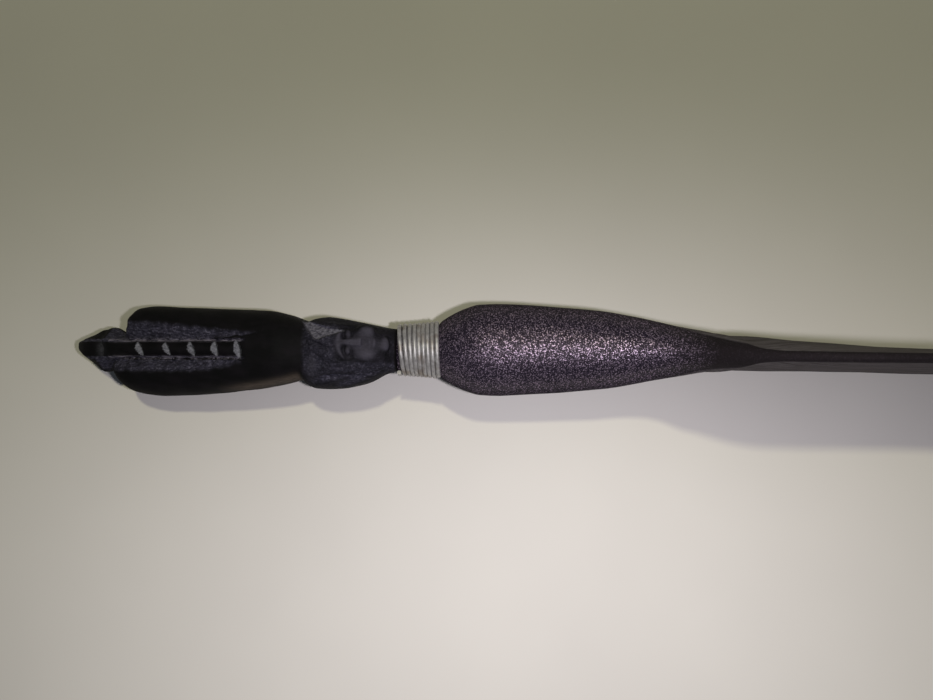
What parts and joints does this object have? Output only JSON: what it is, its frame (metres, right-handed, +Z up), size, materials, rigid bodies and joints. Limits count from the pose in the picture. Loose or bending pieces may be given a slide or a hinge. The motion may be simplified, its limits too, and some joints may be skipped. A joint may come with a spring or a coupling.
{
  "type": "carved wooden serving spoon",
  "caption": "Dark stained serving spoon: carved figure head with a lobed, notched headdress, wire-bound neck, bulb grip and a long shallow bowl.",
  "frame": {"origin": "on the table, under the middle of the spoon's box", "axes": "+X along the spoon from the headdress tip to the bowl, +Y the side that the bowl opens to, +Z up, the way the figure's face looks"},
  "size_m": [0.246, 0.021, 0.0483],
  "materials": {
    "carved_wood": "near-black stain, knife-cut facets left rough",
    "polished_wood": "near-black stain, hand-worn satin with fine grain",
    "wire": "dull grey soft wire"
  },
  "bodies": {
    "root": {"figure_head": "carved_wood", "spoon_body": "polished_wood", "binding_wire": "wire"}
  },
  "joints": []
}
